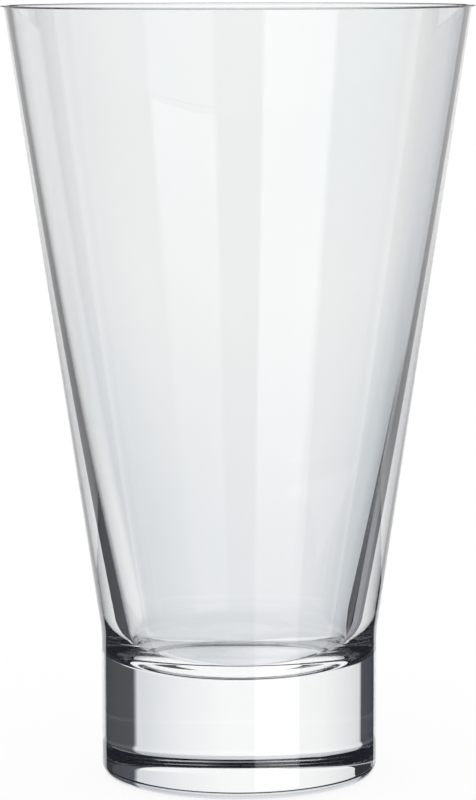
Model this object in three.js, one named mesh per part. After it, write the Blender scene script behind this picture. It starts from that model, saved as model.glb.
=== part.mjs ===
// Highball glass in millimetres, +Z up: a tall conical bowl on a short solid base.
// The origin is the centre of the underside, on the surface that the glass stands on.
import * as THREE from 'three';

// Outside of the glass
const glassHeight = 149.8;
const rimDiameter = 89.8;
const baseDiameter = 53.7;
// Height at which the line of the cone meets the cylinder of the base
const shoulderHeight = 28.3;
// Radius that eases the cone into the cylinder
const shoulderRound = 27;
// Radius of the lower edge
const footRound = 2.5;

// Wall of the bowl, measured level, from the rim down to the shoulder
const rimWall = 1.35;
const shoulderWall = 4.9;
// Power of the wall's growth: 1 is a plain taper, more keeps the upper wall thin for longer
const wallGrowth = 2.3;

// Fine lip round the rim: how far it stands proud of the outer wall, and the radius of its outer end
const lipProud = 0.64;
const lipRound = 0.13;
// Radius of the hollow that eases the underside of the lip into the wall
const lipHollow = 0.3;

// Inner floor, which lies a little below the shoulder
const floorDip = 6.5;
// Height above the floor at which the inner wall starts to turn in
const cornerRise = 6.5;
// Glass of the bowl under its floor, down to the weld on the base
const floorGlass = 4;

// Facets
const facetsAround = 72;
const shoulderSteps = 5;
const hollowSteps = 5;
const lipSteps = 8;
const topSteps = 6;
const wallSteps = 12;
const cornerSteps = 8;
const footSteps = 6;

// Values that follow from the sizes above
const rimRadius = rimDiameter / 2;
const baseRadius = baseDiameter / 2;
const coneHeight = glassHeight - shoulderHeight;
const coneSlope = (rimRadius - baseRadius) / coneHeight;
const coneAngle = Math.atan(coneSlope);
const floorHeight = shoulderHeight - floorDip;
const weldHeight = floorHeight - floorGlass;

// Points along an arc, both ends included; angles in radians, counted from the radial direction
function arc(centre, radius, startAngle, endAngle, steps) {
  const points = [];
  for (let i = 0; i <= steps; i += 1) {
    const angle = startAngle + ((endAngle - startAngle) * i) / steps;
    const offset = new THREE.Vector2(Math.cos(angle), Math.sin(angle)).multiplyScalar(radius);
    points.push(offset.add(centre));
  }
  return points;
}

function outerRadius(z) {
  return baseRadius + (z - shoulderHeight) * coneSlope;
}

// Share of the way down from the top of the glass to the shoulder
function wayDown(z) {
  return Math.max(0, (glassHeight - z) / coneHeight);
}

function wallThickness(z) {
  return rimWall + (shoulderWall - rimWall) * wayDown(z) ** wallGrowth;
}

function innerRadius(z) {
  return outerRadius(z) - wallThickness(z);
}

function innerAngle(z) {
  const thickening = ((shoulderWall - rimWall) * wallGrowth * wayDown(z) ** (wallGrowth - 1)) / coneHeight;
  return Math.atan(coneSlope + thickening);
}

// Concave arc from the upright side of the base into the line of the cone
function shoulderArc() {
  const tangent = shoulderRound * Math.tan(coneAngle / 2);
  const centre = new THREE.Vector2(baseRadius + shoulderRound, shoulderHeight - tangent);
  return arc(centre, shoulderRound, Math.PI, Math.PI - coneAngle, shoulderSteps);
}

// Lip of the rim, from where it leaves the outer wall, round its outer end, over the top to the inner wall
function rimLip() {
  const height = glassHeight - lipRound;
  const inside = outerRadius(height) - rimWall;
  const end = new THREE.Vector2(outerRadius(height) + lipProud - lipRound, height);
  const toHollow = lipRound + lipHollow;
  const sideways = (lipRound - lipProud) * Math.cos(coneAngle) + lipHollow;
  const turn = Math.atan2(-Math.sqrt(toHollow ** 2 - sideways ** 2), sideways) - coneAngle;
  const hollow = new THREE.Vector2(Math.cos(turn), Math.sin(turn)).multiplyScalar(toHollow).add(end);
  const top = new THREE.EllipseCurve(end.x, height, end.x - inside, lipRound, Math.PI / 2, Math.PI);
  return [
    ...arc(hollow, lipHollow, Math.PI - coneAngle, Math.PI + turn, hollowSteps),
    ...arc(end, lipRound, turn, Math.PI / 2, lipSteps).slice(1),
    ...top.getPoints(topSteps).slice(1),
  ];
}

// Inner wall from just under the lip down to the start of the rounded corner
function innerWall(top, bottom) {
  const points = [];
  for (let i = 1; i < wallSteps; i += 1) {
    const z = top + ((bottom - top) * i) / wallSteps;
    points.push(new THREE.Vector2(innerRadius(z), z));
  }
  return points;
}

// Rounded corner that turns the inner wall into the flat floor
function floorCorner(top) {
  const angle = innerAngle(top);
  const radius = cornerRise / (1 - Math.sin(angle));
  const centre = new THREE.Vector2(
    innerRadius(top) - radius * Math.cos(angle),
    top + radius * Math.sin(angle),
  );
  return arc(centre, radius, -angle, -Math.PI / 2, cornerSteps);
}

function bowlProfile() {
  const cornerTop = floorHeight + cornerRise;
  const lip = rimLip();
  return [
    new THREE.Vector2(0, weldHeight),
    new THREE.Vector2(baseRadius, weldHeight),
    ...shoulderArc(),
    ...lip,
    ...innerWall(lip[lip.length - 1].y, cornerTop),
    ...floorCorner(cornerTop),
    new THREE.Vector2(0, floorHeight),
  ];
}

function baseProfile() {
  const footCentre = new THREE.Vector2(baseRadius - footRound, footRound);
  return [
    new THREE.Vector2(0, 0),
    ...arc(footCentre, footRound, -Math.PI / 2, 0, footSteps),
    new THREE.Vector2(baseRadius, weldHeight),
    new THREE.Vector2(0, weldHeight),
  ];
}

// One piece of glass, turned about the upright axis of the glass
function turnedGlass(name, profile, colour) {
  const geometry = new THREE.LatheGeometry(profile, facetsAround);
  geometry.rotateX(Math.PI / 2);
  const material = new THREE.MeshStandardMaterial({
    color: colour,
    roughness: 0.03,
    metalness: 0,
    transparent: true,
    opacity: 0.35,
  });
  const mesh = new THREE.Mesh(geometry, material);
  mesh.name = name;
  return mesh;
}

const highballGlass = new THREE.Group();
highballGlass.name = 'highball_glass';
highballGlass.add(turnedGlass('bowl', bowlProfile(), 0xe9ecec));
highballGlass.add(turnedGlass('base', baseProfile(), 0xe4e8e8));

export default highballGlass;
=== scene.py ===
# %% [markdown]
# # A highball glass
# A tall drinking glass is two gobs of the same clear glass: a conical bowl, and a short solid
# base that the hot bowl is welded to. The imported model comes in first, as a frame that stays
# where it is. Its facets would show in clear glass, so each piece is modelled again here,
# finer and smooth, in the place of the node it stands for.

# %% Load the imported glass
import math

import bpy
from mathutils import Matrix, Vector


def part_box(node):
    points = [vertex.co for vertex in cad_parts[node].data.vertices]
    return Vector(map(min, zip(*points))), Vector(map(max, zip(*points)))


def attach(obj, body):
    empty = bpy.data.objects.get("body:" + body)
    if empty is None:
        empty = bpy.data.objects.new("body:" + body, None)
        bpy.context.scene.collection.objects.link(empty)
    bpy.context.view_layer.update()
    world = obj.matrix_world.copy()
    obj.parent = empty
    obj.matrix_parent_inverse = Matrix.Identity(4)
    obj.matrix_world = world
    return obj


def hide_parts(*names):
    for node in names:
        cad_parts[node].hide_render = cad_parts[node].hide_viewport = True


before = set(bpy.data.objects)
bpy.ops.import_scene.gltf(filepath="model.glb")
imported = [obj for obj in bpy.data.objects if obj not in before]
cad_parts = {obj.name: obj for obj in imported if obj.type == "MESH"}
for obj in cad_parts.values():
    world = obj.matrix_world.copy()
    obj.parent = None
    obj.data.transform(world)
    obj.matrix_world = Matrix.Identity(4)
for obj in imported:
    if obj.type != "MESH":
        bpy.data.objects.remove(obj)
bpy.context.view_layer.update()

# %% [markdown]
# ## Sizes
# The height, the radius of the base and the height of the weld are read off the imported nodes,
# so the new pieces follow the frame. The rest are the sizes of the wall and its rounds, in
# millimetres. Blender works in metres, so every length is multiplied by `mm`.

# %% Sizes
mm = 0.001
base_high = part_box("base")[1]
bowl_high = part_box("bowl")[1]
glass_height = bowl_high.z
base_radius = base_high.x
weld_height = base_high.z

rim_radius = 44.9 * mm
shoulder_height = 28.3 * mm
shoulder_round = 27.0 * mm
foot_round = 2.5 * mm
rim_wall = 1.35 * mm
shoulder_wall = 4.9 * mm
wall_growth = 2.3
lip_proud = 0.64 * mm
lip_round = 0.13 * mm
lip_hollow = 0.3 * mm
floor_height = 21.8 * mm
corner_rise = 6.5 * mm

steps_around = 256
cone_height = glass_height - shoulder_height
cone_slope = (rim_radius - base_radius) / cone_height
cone_angle = math.atan(cone_slope)
print(f"cone leans {math.degrees(cone_angle):.2f} degrees over {cone_height / mm:.1f} mm")

# %% [markdown]
# ## The base
# On the real glass the base is a pressed puck of solid glass with a softly rounded foot. A
# cylinder with its lower edge bevelled is just that. Smooth shading would bend the light
# along the whole flat underside and side, so narrow holding loops are added beside the round:
# an inset on the underside, and bisects across the side, at the foot and at the weld.

# %% Start the base from a cylinder
def deselect_everything():
    for thing in bpy.context.selected_objects:
        thing.select_set(False)


def select_where(piece, mode, test):
    """Selects the edges or faces of a piece in edit mode that pass the test, and counts them."""
    bpy.ops.mesh.select_mode(type=mode)
    bpy.ops.mesh.select_all(action="DESELECT")
    bpy.ops.object.mode_set(mode="OBJECT")
    parts = {"EDGE": piece.data.edges, "FACE": piece.data.polygons}[mode]
    for part in parts:
        part.select = test(part)
    chosen = sum(part.select for part in parts)
    bpy.ops.object.mode_set(mode="EDIT")
    return chosen


deselect_everything()
bpy.ops.mesh.primitive_cylinder_add(
    vertices=steps_around, radius=base_radius, depth=weld_height, location=(0, 0, weld_height / 2)
)
base = bpy.context.object
base.name = "glass_base"
bpy.ops.object.transform_apply(location=True, rotation=True, scale=True)
print("base starts as", len(base.data.polygons), "faces")

# %% Round the foot and hold the flats
holding = 0.1 * mm
touch = 0.001 * mm
foot_steps = 16
facing_down = -0.9999


def lies_at(piece, height):
    """A test for edges that lie level at a height."""
    points = piece.data.vertices
    return lambda edge: all(abs(points[v].co.z - height) < touch for v in edge.vertices)


bpy.ops.object.mode_set(mode="EDIT")
foot_edges = select_where(base, "EDGE", lies_at(base, 0.0))
bpy.ops.mesh.bevel(offset=foot_round, segments=foot_steps, profile=0.5, affect="EDGES")
select_where(base, "FACE", lambda face: face.normal.z < facing_down)
bpy.ops.mesh.inset(thickness=holding)
for height in (foot_round + holding, weld_height - holding):
    bpy.ops.mesh.select_all(action="SELECT")
    bpy.ops.mesh.bisect(plane_co=(0, 0, height), plane_no=(0, 0, 1))
bpy.ops.object.mode_set(mode="OBJECT")
print("foot rounded along", foot_edges, "edges; base has", len(base.data.polygons), "faces")

# %% [markdown]
# ## The bowl
# The bowl is blown into a turning mould, so every level cut through it is a ring. The natural
# way to make it is a lathe: draw half of the outline as a chain of vertices, then spin it
# round the upright axis. The wall is thin at the rim and grows thicker towards the shoulder,
# ever faster on the way down, as glass does that sags while it is hot.

# %% The wall of the bowl
def outer_radius(z):
    """Radius of the cone at a height."""
    return base_radius + (z - shoulder_height) * cone_slope


def way_down(z):
    """Share of the way from the rim down to the shoulder."""
    return max(0.0, (glass_height - z) / cone_height)


def inner_radius(z):
    """Radius of the inside of the wall at a height."""
    return outer_radius(z) - rim_wall - (shoulder_wall - rim_wall) * way_down(z) ** wall_growth


def inner_lean(z):
    """Angle of the inside of the wall to the upright, in radians."""
    thickening = (shoulder_wall - rim_wall) * wall_growth * way_down(z) ** (wall_growth - 1)
    return math.atan(cone_slope + thickening / cone_height)


for z in (145 * mm, 90 * mm, 35 * mm):
    print(f"wall at {z / mm:.0f} mm: {(outer_radius(z) - inner_radius(z)) / mm:.2f} mm")

# %% Arcs and straight stretches of an outline
def arc(centre, radius, start, end, steps):
    """Points along an arc in the outline's plane, both ends included."""
    angles = [start + (end - start) * i / steps for i in range(steps + 1)]
    return [(centre[0] + radius * math.cos(a), centre[1] + radius * math.sin(a)) for a in angles]


def straight(start, end, steps):
    """Points between two ends, with a holding point close to each of them."""
    length = math.dist(start, end)
    shares = [holding / length, *[i / steps for i in range(1, steps)], 1 - holding / length]
    return [tuple(a + (b - a) * s for a, b in zip(start, end)) for s in shares]


print("a quarter arc in 4 steps has", len(arc((0, 0), 1, 0, math.pi / 2, 4)), "points")

# %% [markdown]
# ## The lip of the rim
# The rim was melted smooth with a flame, which leaves a fine lip that stands proud of the outer
# wall and runs into it without a crease. In the outline its outer end is a small arc, and its
# top is a quarter of a flat ellipse that falls to the inner wall. A tiny hollow under the lip
# eases it into the outer wall: its centre is where a circle touches both of them.

# %% The lip of the rim
lip_steps, hollow_steps = 16, 6
lip_height = glass_height - lip_round
lip_outside = outer_radius(lip_height) + lip_proud
lip_inside = outer_radius(lip_height) - rim_wall
lip_end = (lip_outside - lip_round, lip_height)

to_hollow = lip_round + lip_hollow
sideways = (lip_round - lip_proud) * math.cos(cone_angle) + lip_hollow
hollow_turn = math.atan2(-math.sqrt(to_hollow**2 - sideways**2), sideways) - cone_angle
hollow_centre = (
    lip_end[0] + to_hollow * math.cos(hollow_turn),
    lip_end[1] + to_hollow * math.sin(hollow_turn),
)
top_width = lip_end[0] - lip_inside
lip_top = [
    (lip_end[0] - top_width * math.sin(a), lip_height + lip_round * math.cos(a))
    for a in [math.pi / 2 * i / lip_steps for i in range(1, lip_steps + 1)]
]
rim_line = [
    *arc(hollow_centre, lip_hollow, math.pi - cone_angle, math.pi + hollow_turn, hollow_steps),
    *arc(lip_end, lip_round, hollow_turn, math.pi / 2, lip_steps)[1:],
    *lip_top,
]
print(f"lip {(lip_outside - lip_inside) / mm:.2f} mm wide")

# %% [markdown]
# ## The outline of the bowl
# The outline runs from the middle of the weld out to the side, up over the shoulder and along
# the cone to the rim, then down inside to the floor. A soft arc eases the cone into the upright
# side, and the inner wall turns into the floor in a rounded corner. Straight stretches get a
# holding point close to each end, so that smooth shading stays inside the rounds.

# %% Shoulder and inner corner
shoulder_steps, corner_steps = 8, 20
shoulder_tangent = shoulder_round * math.tan(cone_angle / 2)
shoulder_centre = (base_radius + shoulder_round, shoulder_height - shoulder_tangent)
shoulder_line = arc(shoulder_centre, shoulder_round, math.pi, math.pi - cone_angle, shoulder_steps)

corner_top = floor_height + corner_rise
corner_lean = inner_lean(corner_top)
corner_radius = corner_rise / (1 - math.sin(corner_lean))
corner_centre = (
    inner_radius(corner_top) - corner_radius * math.cos(corner_lean),
    corner_top + corner_radius * math.sin(corner_lean),
)
corner_line = arc(corner_centre, corner_radius, -corner_lean, -math.pi / 2, corner_steps)
print(f"inner corner has a radius of {corner_radius / mm:.1f} mm")

# %% Outline of the bowl
wall_rings, cone_rings, side_rings, flat_rings = 40, 24, 3, 4
wall_top = rim_line[-1][1]
wall_heights = [wall_top + (corner_top - wall_top) * i / wall_rings for i in range(1, wall_rings)]
inner_line = [(inner_radius(z), z) for z in (wall_top - holding, *wall_heights)]

weld_centre, weld_edge = (0.0, weld_height), (base_radius, weld_height)
floor_centre = (0.0, floor_height)
outline = [
    weld_centre,
    *straight(weld_centre, weld_edge, flat_rings),
    weld_edge,
    *straight(weld_edge, shoulder_line[0], side_rings),
    *shoulder_line,
    *straight(shoulder_line[-1], rim_line[0], cone_rings),
    *rim_line,
    *inner_line,
    *corner_line,
    *straight(corner_line[-1], floor_centre, flat_rings)[:-1],
    floor_centre,
]
print("outline of", len(outline), "points")

# %% [markdown]
# ## Spin the bowl
# A tiny plane merged to one vertex is the start of the outline, and extruding that vertex again
# and again draws the rest. Spin turns the chain round the axis. The doubled seam and the two
# poles are merged, and the normals are made to point out of the glass.

# %% Draw the outline and spin it
full_turn = 2 * math.pi
deselect_everything()
bpy.ops.mesh.primitive_plane_add(size=mm, location=(0, 0, 0))
bowl = bpy.context.object
bowl.name = "glass_bowl"
bpy.ops.object.mode_set(mode="EDIT")
bpy.ops.mesh.select_mode(type="VERT")
bpy.ops.mesh.merge(type="CENTER")
bpy.ops.transform.translate(value=(outline[0][0], 0, outline[0][1]))
for (from_x, from_z), (to_x, to_z) in zip(outline, outline[1:]):
    bpy.ops.mesh.extrude_vertices_move(
        TRANSFORM_OT_translate={"value": (to_x - from_x, 0, to_z - from_z)}
    )
bpy.ops.mesh.select_all(action="SELECT")
bpy.ops.mesh.spin(steps=steps_around, angle=full_turn, center=(0, 0, 0), axis=(0, 0, 1))
bpy.ops.mesh.select_all(action="SELECT")
bpy.ops.mesh.remove_doubles(threshold=touch)
bpy.ops.mesh.normals_make_consistent(inside=False)
bpy.ops.object.mode_set(mode="OBJECT")
print("bowl has", len(bowl.data.vertices), "vertices and", len(bowl.data.polygons), "faces")

# %% [markdown]
# ## Clear soda-lime glass
# The glass is ordinary soda-lime glass with an index of 1.52, no colour but a breath of cool
# grey, and a skin that the mould and the flame left as smooth as a liquid. To the eye that gives
# sharp reflections and a clear view, bent only where the glass is thick. First come two small
# helpers: one turns a hex colour into Blender's linear values, the other adds any node, with
# its settings and links, to any tree.

# %% Colours and nodes
def linear(hex_colour):
    """An sRGB hex colour as the linear values that Blender's sockets take."""
    parts = [int(hex_colour[i : i + 2], 16) / 255 for i in (1, 3, 5)]
    steps = [p / 12.92 if p <= 0.04045 else ((p + 0.055) / 1.055) ** 2.4 for p in parts]
    return (*steps, 1.0)


def add_node(tree, kind, inputs=None, stops=None, **settings):
    """Adds a node, sets it, fills or links its inputs, and gives its ramp the stops."""
    node = tree.nodes.new(kind)
    for name, value in settings.items():
        setattr(node, name, value)
    for socket, value in (inputs or {}).items():
        if isinstance(value, bpy.types.Node):
            value = next(output for output in value.outputs if output.enabled)
        if isinstance(value, bpy.types.NodeSocket):
            tree.links.new(value, node.inputs[socket])
        else:
            node.inputs[socket].default_value = value
    if stops:
        ramp = node.color_ramp.elements
        while len(ramp) < len(stops):
            ramp.new(1.0)
        for element, (place, hex_colour) in zip(ramp, sorted(stops)):
            element.position = place
            element.color = linear(hex_colour)
    return node


print("mid grey #808080 is", round(linear("#808080")[0], 3), "in linear light")

# %% [markdown]
# Real glass is never quite even. The gob cools in cords, so its tint drifts by a shade, and its
# skin keeps long waves a few thousandths of a millimetre deep, drawn out along the blown wall
# and rounder in the pressed base. Stretched noises make all three: the tint, the trace of haze
# that washing leaves, and the waves. They read Object coordinates, in metres, so each noise is
# scaled by one over the length of its waves.

# %% Soda-lime glass
glass_index = 1.52
most_haze = 0.02


def soda_lime_glass(name, wave_round, wave_up, wave_depth):
    """Fire-polished clear glass, sharp to look through; wave lengths and depth in metres."""
    material = bpy.data.materials.new(name)
    material.use_nodes = True
    tree = material.node_tree
    tree.nodes.clear()
    place = add_node(tree, "ShaderNodeTexCoord").outputs["Object"]
    stretch = (1 / wave_round, 1 / wave_round, 1 / wave_up)
    drawn_out = add_node(tree, "ShaderNodeMapping", {"Vector": place, "Scale": stretch})
    waves = add_node(tree, "ShaderNodeTexNoise", {"Vector": drawn_out, "Scale": 1.0, "Detail": 1.0})
    skin = add_node(tree, "ShaderNodeBump", {"Height": waves, "Distance": wave_depth})
    cords = add_node(tree, "ShaderNodeTexNoise", {"Vector": drawn_out, "Scale": 0.7, "Detail": 3.0})
    tint = add_node(
        tree, "ShaderNodeValToRGB", {"Fac": cords}, stops=[(0.3, "#fcfefe"), (0.7, "#fefefe")]
    )
    haze = add_node(
        tree, "ShaderNodeMapRange",
        {"Value": cords, "From Min": 0.4, "From Max": 0.8, "To Min": 0.0, "To Max": most_haze},
    )
    shader = add_node(
        tree, "ShaderNodeBsdfPrincipled",
        {
            "Base Color": tint, "Roughness": haze, "Normal": skin,
            "IOR": glass_index, "Transmission Weight": 1.0,
        },
    )
    add_node(tree, "ShaderNodeOutputMaterial", {"Surface": shader})
    print(name, "has waves of", wave_round / mm, "by", wave_up / mm, "mm")
    return material


bowl_glass = soda_lime_glass("blown_soda_lime_glass", 14 * mm, 60 * mm, 0.006 * mm)
base_glass = soda_lime_glass("pressed_soda_lime_glass", 16 * mm, 20 * mm, 0.003 * mm)

# %% [markdown]
# ## The weld
# On the real glass the bowl was set on the base while both were soft, so no surface is left
# between them. Here each piece is a closed solid with its own face at the weld. Glass on those
# two faces would show as a thin mirror, so they get a fully clear shader that lets light pass
# straight from one piece into the other.

# %% Glass and weld
nearly_level = 0.99
smooth_below = math.radians(50)

weld = bpy.data.materials.new("welded_glass_face")
weld.use_nodes = True
weld.node_tree.nodes.clear()
clear = add_node(weld.node_tree, "ShaderNodeBsdfTransparent")
add_node(weld.node_tree, "ShaderNodeOutputMaterial", {"Surface": clear})


def finish_glass(piece, glass, facing):
    """Gives a piece its glass, its weld face the weld, and smooth shading."""
    piece.data.materials.append(glass)
    piece.data.materials.append(weld)
    welded = 0
    for face in piece.data.polygons:
        on_weld = abs(face.center.z - weld_height) < touch and face.normal.z * facing > nearly_level
        face.material_index = 1 if on_weld else 0
        welded += on_weld
    deselect_everything()
    piece.select_set(True)
    bpy.context.view_layer.objects.active = piece
    bpy.ops.object.shade_smooth_by_angle(angle=smooth_below)
    print(piece.name, "has", welded, "faces on the weld")


finish_glass(bowl, bowl_glass, -1)
finish_glass(base, base_glass, 1)

# %% [markdown]
# ## Places in the frame
# A glass has no moving parts, so both pieces ride on the root. Each takes the place of the
# imported node that it was modelled from, and that node is hidden.

# %% Ride on the frame
for piece, node in ((bowl, "bowl"), (base, "base")):
    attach(piece, "root")
    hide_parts(node)
    print(piece.name, "stands for the node", node)

# %% [markdown]
# ## The camera
# A product photo of a glass is taken with a long lens from a little above the rim, so that the
# sides hardly converge and the mouth is a narrow ellipse. The distance, the height and the tilt
# were fitted to the rim, the sides and the foot.

# %% Camera
camera_distance, camera_height = 701.8 * mm, 157.7 * mm
camera_down, camera_roll = 0.1194, -0.002

camera_data = bpy.data.cameras.new("camera")
camera_data.lens = 163.74
camera_data.shift_x = -0.0007
camera = bpy.data.objects.new("camera", camera_data)
bpy.context.scene.collection.objects.link(camera)
camera.matrix_world = (
    Matrix.Translation((0, -camera_distance, camera_height))
    @ Matrix.Rotation(math.pi / 2 - camera_down, 4, "X")
    @ Matrix.Rotation(camera_roll, 4, "Z")
)
bpy.context.scene.camera = camera
print(f"camera looks down by {math.degrees(camera_down):.1f} degrees")

# %% [markdown]
# ## The floor
# The glass stands on white paper. To the camera most of the paper is plain white, and a small
# matt share keeps the soft shadow at the foot. The glass itself sees the studio instead of the
# paper, because a mirrored floor would fill the dark lines that draw a clear glass.

# %% Floor
matt_share = 0.12
floor_size = 6.0

deselect_everything()
bpy.ops.mesh.primitive_plane_add(size=floor_size, location=(0, 0, 0))
floor = bpy.context.object
floor.name = "floor"
floor.visible_glossy = False
floor.visible_transmission = False
paper = bpy.data.materials.new("white_paper")
paper.use_nodes = True
tree = paper.node_tree
tree.nodes.clear()
matt = add_node(tree, "ShaderNodeBsdfDiffuse", {"Color": linear("#ffffff")})
plain = add_node(tree, "ShaderNodeEmission", {"Strength": 1.0})
to_camera = add_node(tree, "ShaderNodeMixShader", {0: matt_share, 1: plain, 2: matt})
path = add_node(tree, "ShaderNodeLightPath").outputs
shown = add_node(tree, "ShaderNodeMixShader", {0: path["Is Camera Ray"], 1: matt, 2: to_camera})
add_node(tree, "ShaderNodeOutputMaterial", {"Surface": shown})
floor.data.materials.append(paper)
print("floor with a matt share of", matt_share)

# %% [markdown]
# ## Dark cards
# Clear glass against white would vanish, so photographers stand dark cards just outside the
# picture, and the thick edges of the glass bend the view out to them. Here five upright cards
# stand behind the glass, and two pieces of dark felt lie beside its foot. A studio tunes such
# cards by hand until each edge looks right. Light Path tunes these: a card shows only to light
# that went through the glass and was mirrored on the way, or that went straight through, and
# the felt only to light mirrored by the outer skin.

# %% A card and what it shows
entered = ("Transmission Depth", "GREATER_THAN", 0.5)
mirrored_inside = [entered, ("Glossy Depth", "GREATER_THAN", 0.5)]
straight_through = [entered, ("Glossy Depth", "LESS_THAN", 0.5)]
off_the_skin = [("Transmission Depth", "LESS_THAN", 0.5)]
once_from_below = [
    *mirrored_inside, ("Glossy Depth", "LESS_THAN", 1.5), ("Backfacing", "GREATER_THAN", 0.5),
]


def stage_card(name, tests, low, high, at_low, at_high):
    """Makes the active plane a card: its tests, two heights and the light it gives at each."""
    card = bpy.context.object
    card.name = name
    bpy.ops.object.transform_apply(location=True, rotation=True, scale=True)
    material = bpy.data.materials.new(name)
    material.use_nodes = True
    tree = material.node_tree
    tree.nodes.clear()
    place = add_node(tree, "ShaderNodeTexCoord").outputs["Object"]
    height = add_node(tree, "ShaderNodeSeparateXYZ", {"Vector": place}).outputs["Z"]
    light = add_node(
        tree, "ShaderNodeMapRange",
        {"Value": height, "From Min": low, "From Max": high, "To Min": at_low, "To Max": at_high},
        interpolation_type="SMOOTHSTEP",
    )
    glow = add_node(tree, "ShaderNodeEmission", {"Color": linear("#f4f6fc"), "Strength": light})
    facts = dict(add_node(tree, "ShaderNodeLightPath").outputs.items())
    facts["Backfacing"] = add_node(tree, "ShaderNodeNewGeometry").outputs["Backfacing"]
    seen = 1.0
    for fact, operation, limit in tests:
        passed = add_node(tree, "ShaderNodeMath", {0: facts[fact], 1: limit}, operation=operation)
        seen = add_node(tree, "ShaderNodeMath", {0: seen, 1: passed}, operation="MULTIPLY")
    clear = add_node(tree, "ShaderNodeBsdfTransparent")
    shown = add_node(tree, "ShaderNodeMixShader", {0: seen, 1: clear, 2: glow})
    add_node(tree, "ShaderNodeOutputMaterial", {"Surface": shown})
    card.data.materials.append(material)
    card.visible_camera = False
    card.visible_diffuse = False
    card.visible_shadow = False
    print(name, "from", [round(v / mm) for v in card.bound_box[0]], "mm")


# %% Stand the cards
card_tall = 800 * mm
# Name, distance behind the glass, left and right end, lean in degrees, tests, then two heights
# and the light at each, with lengths in millimetres. No two cards share a plane, so none of
# them hides another.
cards = [
    ("card_left", 120, -600, -103, 8, mirrored_inside, -20, 40, 0.105, 0.04),
    ("card_right_straight", 118, 76, 180, 0, straight_through, 40, 62, 0.1, 0.95),
    ("card_right_strip", 120, 103, 126, -9, mirrored_inside, -30, 30, 0.32, 0.1),
    ("card_right_grey", 121, 125, 166, -9, mirrored_inside, -20, 25, 0.42, 0.1),
    ("card_far_right", 122, 165, 600, -9, mirrored_inside, 40, 120, 0.05, 0.1),
]
for name, behind, left, right, lean, tests, low, high, at_low, at_high in cards:
    deselect_everything()
    bpy.ops.mesh.primitive_plane_add(
        size=1.0,
        location=((left + right) / 2 * mm, behind * mm, 0),
        rotation=(math.pi / 2, math.radians(lean), 0),
    )
    bpy.context.object.scale = ((right - left) * mm, card_tall, 1)
    stage_card(name, tests, low * mm, high * mm, at_low, at_high)

# %% Lay the felt
felt_wide, felt_deep = 170 * mm, 190 * mm
felt_light = 0.04
felt_aside, felt_ahead, felt_lift = 26.5 * mm, 6 * mm, 0.05 * mm
felt_back = 75 * mm
for name, side, turn in (("felt_left", 1, 30), ("felt_right", -1, 24)):
    deselect_everything()
    turned = Matrix.Rotation(side * math.radians(turn), 4, "Z")
    near_corner = Vector((-side * felt_aside, -felt_ahead, felt_lift))
    middle = near_corner + turned @ Vector((-side * felt_wide / 2, felt_back, 0))
    bpy.ops.mesh.primitive_plane_add(size=1.0, location=middle, rotation=turned.to_euler())
    bpy.context.object.scale = (felt_wide, felt_deep, 1)
    bpy.context.object.visible_transmission = False
    stage_card(name, off_the_skin, 0.0, mm, felt_light, felt_light)

# %% [markdown]
# Seen from higher up, the underside of the base mirrors the view up into the left dark card. A
# pale card lies level in that line of sight. It is painted below only, so light on its way down
# to the dark card passes it.

# %% Lay the pale card
pale_light = 0.68
pale_wide, pale_deep = 240 * mm, 128 * mm
pale_middle = (-140 * mm, 53 * mm, 60 * mm)

deselect_everything()
bpy.ops.mesh.primitive_plane_add(size=1.0, location=pale_middle)
bpy.context.object.scale = (pale_wide, pale_deep, 1)
stage_card("pale_card", once_from_below, 0.0, mm, pale_light, pale_light)

# %% [markdown]
# ## The studio
# The light is one white room round the glass, drawn in the world's nodes. Every ray that leaves
# the glass meets it in some direction, so the room is written as greys over two angles: the
# turn round the glass, 0 behind it and positive to the right, and the rise above the horizon.

# %% Directions in the room
world = bpy.data.worlds.new("studio")
bpy.context.scene.world = world
world.use_nodes = True
studio = world.node_tree
studio.nodes.clear()
looking = add_node(studio, "ShaderNodeTexCoord").outputs["Generated"]
along = add_node(studio, "ShaderNodeSeparateXYZ", {"Vector": looking}).outputs
turn = add_node(studio, "ShaderNodeMath", {0: along["X"], 1: along["Y"]}, operation="ARCTAN2")
rise = add_node(studio, "ShaderNodeMath", {0: along["Z"]}, operation="ARCSINE")
turn_share = add_node(
    studio, "ShaderNodeMapRange", {"Value": turn, "From Min": -math.pi, "From Max": math.pi}
)
rise_share = add_node(
    studio, "ShaderNodeMapRange", {"Value": rise, "From Min": -math.pi / 2, "From Max": math.pi / 2}
)
print("the studio reads", turn.operation, "for the turn and", rise.operation, "for the rise")

# %% [markdown]
# A ray tells what it met on its way: how often it was mirrored and how often it passed through
# a surface. Two passes are the solid base or one wall, four are both walls of the bowl. From
# these counts come the tests below, each 1 or 0.

# %% Tests of a ray's way
path = add_node(studio, "ShaderNodeLightPath").outputs
counts = {
    "mirrored": ("Glossy Depth", "GREATER_THAN", 0.5),
    "mirrored_again": ("Glossy Depth", "GREATER_THAN", 1.5),
    "mirrored_often": ("Glossy Depth", "GREATER_THAN", 2.5),
    "outside": ("Transmission Depth", "LESS_THAN", 0.5),
    "one_wall": ("Transmission Depth", "LESS_THAN", 2.5),
    "two_walls": ("Transmission Depth", "GREATER_THAN", 2.5),
}
way = {}
for name, (count, operation, limit) in counts.items():
    way[name] = add_node(studio, "ShaderNodeMath", {0: path[count], 1: limit}, operation=operation)
pairs = {
    "mirrored_once": ("mirrored", "SUBTRACT", "mirrored_again"),
    "trapped": ("mirrored_often", "MULTIPLY", "one_wall"),
    "scattered": ("mirrored_again", "MULTIPLY", "two_walls"),
    "once_in_one_wall": ("mirrored_once", "MULTIPLY", "one_wall"),
}
for name, (first, operation, second) in pairs.items():
    way[name] = add_node(
        studio, "ShaderNodeMath", {0: way[first], 1: way[second]}, operation=operation
    )
print(len(way), "tests of a ray's way")

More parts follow.
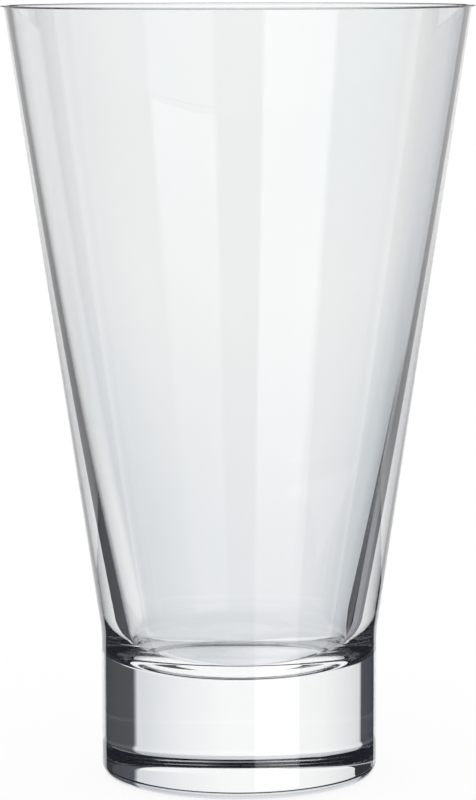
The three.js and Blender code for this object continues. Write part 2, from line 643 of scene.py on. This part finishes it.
# %% [markdown]
# The greys of the room are ramps over one angle each, in degrees. First what lies straight
# behind the glass. The panel behind the base ends in dark wings at both sides, which the solid
# base squeezes into its dark edges. The wall behind the bowl is nearly white and falls off
# downwards.

# %% Greys behind the glass
white, black = "#ffffff", "#000000"
wing = "#53565d"
half_turn, quarter_turn = 180, 90
ramps = {
    "panel": (turn_share, half_turn, [
        (-80, white), (-76, wing), (-53, wing), (-51.5, "#e9ebed"), (-38, "#eff1f2"),
        (-28, "#f9fafa"), (-12, white), (4, white), (18, "#f3f4f5"), (32, "#e0e3e7"),
        (37.6, "#dfe2e6"), (38.2, wing), (75, wing), (78, white),
    ]),
    "panel_height": (rise_share, quarter_turn, [
        (-15.5, black), (-14.5, white), (25, white), (26, black),
    ]),
    "foot_shade": (rise_share, quarter_turn, [(2.5, white), (4.5, "#d8dadf")]),
    "bowl_wall": (turn_share, half_turn, [
        (-14, white), (-12, "#fafbfc"), (-9, "#f9fafb"), (-6, "#f9fafb"), (-3, white),
        (4, white), (6.5, "#fefefe"), (8, "#fafbfc"), (10, "#f4f6f8"), (13, "#f1f4f6"),
        (17, "#ebeff2"), (22, "#eef1f4"), (30, "#f2f4f6"), (40, white),
    ]),
    "fall_reach": (turn_share, half_turn, [
        (-34, white), (-28, black), (-16, black), (-11, white),
        (21, white), (24, black), (40, black), (46, white),
    ]),
    "bowl_fall": (rise_share, quarter_turn, [
        (-90, "#e0e2e5"), (-32, "#e4e6e9"), (-23, "#e9ebee"), (-20, "#ebecef"),
        (-12.7, "#f3f4f6"), (-10.3, "#f8f9fa"), (-6.8, white),
    ]),
}
print(len(ramps), "ramps behind the glass")

# %% [markdown]
# Next the room as the bowl's walls mirror it. It is white behind the glass, and dark as night
# in front, so that only the softbox shows there. What the far wall mirrors is dimmer on the
# left, and light that was scattered through both walls comes out as a middle grey.

# %% Greys mirrored in the walls
night, slate = "#22242c", "#8a8d93"
ramps |= {
    "mirror_side": (turn_share, half_turn, [(-84, night), (-78, white), (78, white), (84, night)]),
    "mirror_fall": (rise_share, quarter_turn, [
        (-22, white), (-18.5, "#f0f1f3"), (-16, "#dfe1e5"), (-8.5, "#dcdee2"), (-7, white),
    ]),
    "back_side": (turn_share, half_turn, [
        (-62, white), (-46, slate), (-3, slate), (3, white),
    ]),
    "back_fall": (rise_share, quarter_turn, [
        (-40, white), (-30, slate), (-13.5, slate), (-12.5, white),
    ]),
    "overhead": (rise_share, quarter_turn, [(45, black), (55, white)]),
    "underfoot": (rise_share, quarter_turn, [(-40, white), (-30, black)]),
    "scatter": (rise_share, quarter_turn, [
        (-48, "#c4c6ca"), (-36, "#989ba0"), (-8, "#989ba0"), (8, "#c4c6ca"),
    ]),
}
print(len(ramps), "ramps with the walls")

# %% [markdown]
# The underside of the base is a mirror too. Seen from just above, it shows the panel again, as
# a bright lens over the foot, and from higher up a pale room. Near its edges the outer skin
# mirrors the white room behind the glass. Above the horizon that room is dark, which draws the
# rim as a dark line.

# %% Greys mirrored in the base and the skin
pale = "#d5d8dc"
ramps |= {
    "lens_height": (rise_share, quarter_turn, [(2, black), (5, white)]),
    "lens_top": (rise_share, quarter_turn, [(15, black), (17, white)]),
    "lens_above": (turn_share, half_turn, [
        (-56, pale), (-46, white), (37.6, white), (38.2, wing), (78, wing), (84, pale),
    ]),
    "lens_side": (turn_share, half_turn, [
        (-84, slate), (-78, white), (78, white), (84, slate),
    ]),
    "skin_side": (turn_share, half_turn, [(-62, night), (-50, white), (50, white), (62, night)]),
    "skin_height": (rise_share, quarter_turn, [(0.5, black), (1.5, white)]),
}
print(len(ramps), "ramps with the base and the skin")

# %% [markdown]
# One tall softbox stands at the front right. The ramps give its two sides, and its height as
# it shows in the outer skin, on the inside of the wall and on the far wall.

# %% Greys of the softbox
ramps |= {
    "softbox_side": (turn_share, half_turn, [
        (128, black), (130, white), (166, white), (168, black),
    ]),
    "softbox_on_skin": (rise_share, quarter_turn, [
        (-36, black), (-30, "#bbbbbb"), (-16, "#bbbbbb"), (-13, white), (-8, white), (-2, black),
    ]),
    "softbox_in_wall": (rise_share, quarter_turn, [
        (-36, black), (-30, white), (-16, white), (-14, black),
    ]),
    "softbox_in_back": (rise_share, quarter_turn, [
        (7, black), (13, white), (22, white), (30, black),
    ]),
}
grey = {}
for name, (share, reach, stops) in ramps.items():
    places = [((degrees + reach) / (2 * reach), colour) for degrees, colour in stops]
    grey[name] = add_node(studio, "ShaderNodeValToRGB", {"Fac": share}, stops=places)
print(len(grey), "ramps of grey in all")

# %% [markdown]
# The rooms are stacked like layers of paint: each line names a layer, what it starts from, how
# much of the next colour covers it, and that colour. Straight rays meet the panel or the wall
# behind the bowl. Mirrored rays meet the dark front room, but the mirror under the base shows
# the panel again. Rays caught in the glass come out dark, as they do in thick glass.

# %% Layers of the room
caught = "#1c1e26"
layers = [
    ("base_view", linear(white), grey["panel_height"], grey["panel"], "MIX"),
    ("base_view", "base_view", 1.0, grey["foot_shade"], "MULTIPLY"),
    ("fall", linear(white), grey["fall_reach"], grey["bowl_fall"], "MIX"),
    ("bowl_view", grey["bowl_wall"], 1.0, "fall", "MULTIPLY"),
    ("straight", "bowl_view", way["one_wall"], "base_view", "MIX"),
    ("high", linear(black), way["mirrored_again"], grey["overhead"], "MIX"),
    ("mirror", grey["mirror_side"], "high", linear(night), "MIX"),
    ("mirror", "mirror", way["one_wall"], grey["mirror_fall"], "MULTIPLY"),
    ("mirror", "mirror", way["two_walls"], grey["back_side"], "MULTIPLY"),
    ("mirror", "mirror", way["two_walls"], grey["back_fall"], "MULTIPLY"),
    ("mirror", "mirror", grey["underfoot"], linear(white), "MIX"),
    ("lens_view", grey["panel"], 1.0, grey["lens_side"], "MULTIPLY"),
    ("lens_view", "lens_view", grey["lens_top"], grey["lens_above"], "MIX"),
    ("lens", linear(black), way["once_in_one_wall"], grey["lens_height"], "MIX"),
    ("mirror", "mirror", "lens", "lens_view", "MIX"),
    ("skin", grey["skin_side"], grey["skin_height"], linear(night), "MIX"),
    ("mirror", "mirror", way["outside"], "skin", "MIX"),
    ("room", "straight", way["mirrored"], "mirror", "MIX"),
    ("room", "room", way["scattered"], grey["scatter"], "MIX"),
    ("room", "room", way["trapped"], linear(caught), "MIX"),
]
print(len(layers), "layers of the room")

# %% [markdown]
# The softbox shows as the long pale stripe in the outer skin, a fainter one on the inside of
# the wall, and a soft one on the far wall. Only rays that were mirrored a single time see it.
# It is brighter than the room, and is added on top of it.

# %% Softbox
skin_light, inner_light = 2.2, 1.1
softbox = add_node(
    studio, "ShaderNodeMapRange",
    {"Value": way["outside"], "To Min": inner_light, "To Max": skin_light},
)
layers += [
    ("stripe", grey["softbox_in_back"], way["one_wall"], grey["softbox_in_wall"], "MIX"),
    ("stripe", "stripe", way["outside"], grey["softbox_on_skin"], "MIX"),
    ("stripe", "stripe", 1.0, grey["softbox_side"], "MULTIPLY"),
    ("stripe", "stripe", 1.0, way["mirrored_once"], "MULTIPLY"),
    ("stripe", "stripe", 1.0, softbox, "MULTIPLY"),
    ("room", "room", 1.0, "stripe", "ADD"),
]
print("softbox gives", skin_light, "on the skin and", inner_light, "inside")

# %% [markdown]
# Now every layer of the list becomes a Mix node. A Mix node holds a set of sockets for each kind
# of data, with the same names, so its colour sockets are picked by their numbers.

# %% Stack the layers
cover_socket, start_socket, colour_socket = 0, 6, 7
room = {}
for name, start, cover, colour, blend in layers:
    start, cover, colour = (
        room[value] if isinstance(value, str) else value for value in (start, cover, colour)
    )
    room[name] = add_node(
        studio, "ShaderNodeMix",
        {cover_socket: cover, start_socket: start, colour_socket: colour},
        data_type="RGBA", blend_type=blend,
    )
print("stacked:", sorted(room))

# %% [markdown]
# Last, the camera and the paper see a plain white room. A strength a little over 1 makes up
# for the light that the clear glass takes. Clear glass also needs long ways for its light, so
# the bounces are raised, and the Standard view shows a colour as it is written.

# %% Light the scene
room_strength = 1.03
long_way = 32

plain = add_node(
    studio, "ShaderNodeMath",
    {0: path["Is Camera Ray"], 1: path["Is Diffuse Ray"]}, operation="MAXIMUM",
)
colour = add_node(
    studio, "ShaderNodeMix",
    {cover_socket: plain, start_socket: room["room"], colour_socket: linear(white)},
    data_type="RGBA",
)
background = add_node(studio, "ShaderNodeBackground", {"Color": colour, "Strength": room_strength})
add_node(studio, "ShaderNodeOutputWorld", {"Surface": background})

scene = bpy.context.scene
scene.view_settings.view_transform = "Standard"
scene.cycles.max_bounces = long_way
scene.cycles.transmission_bounces = long_way
scene.cycles.glossy_bounces = long_way
scene.cycles.transparent_max_bounces = 2 * long_way
print(len(studio.nodes), "nodes in the studio")
